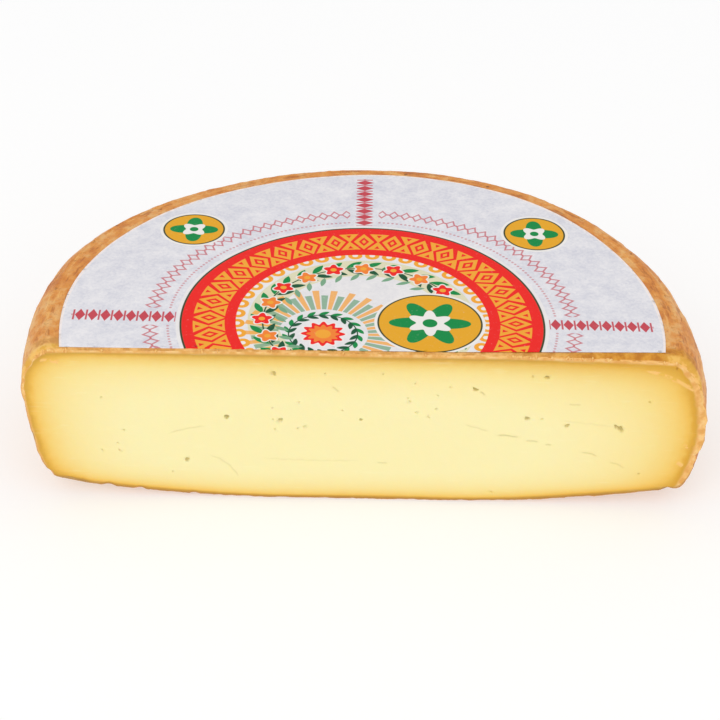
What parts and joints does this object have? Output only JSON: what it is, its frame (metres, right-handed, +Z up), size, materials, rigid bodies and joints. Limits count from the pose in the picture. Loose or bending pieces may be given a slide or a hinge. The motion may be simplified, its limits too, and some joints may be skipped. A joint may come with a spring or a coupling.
{
  "type": "raclette half wheel",
  "caption": "Half of a round washed-rind cheese wheel with a flat cut face and a paper label on top.",
  "frame": {"origin": "on the floor, under the middle of the bounding box", "axes": "+Z up, cut face towards -Y, width of the cut along X"},
  "size_m": [0.302, 0.1764, 0.0806],
  "materials": {
    "cheese": "pale yellow paste with an orange-brown washed rind, satin",
    "label": "thin crinkled paper with red, gold and green print"
  },
  "bodies": {
    "root": {"cheese": "cheese", "label": "label"}
  },
  "joints": []
}
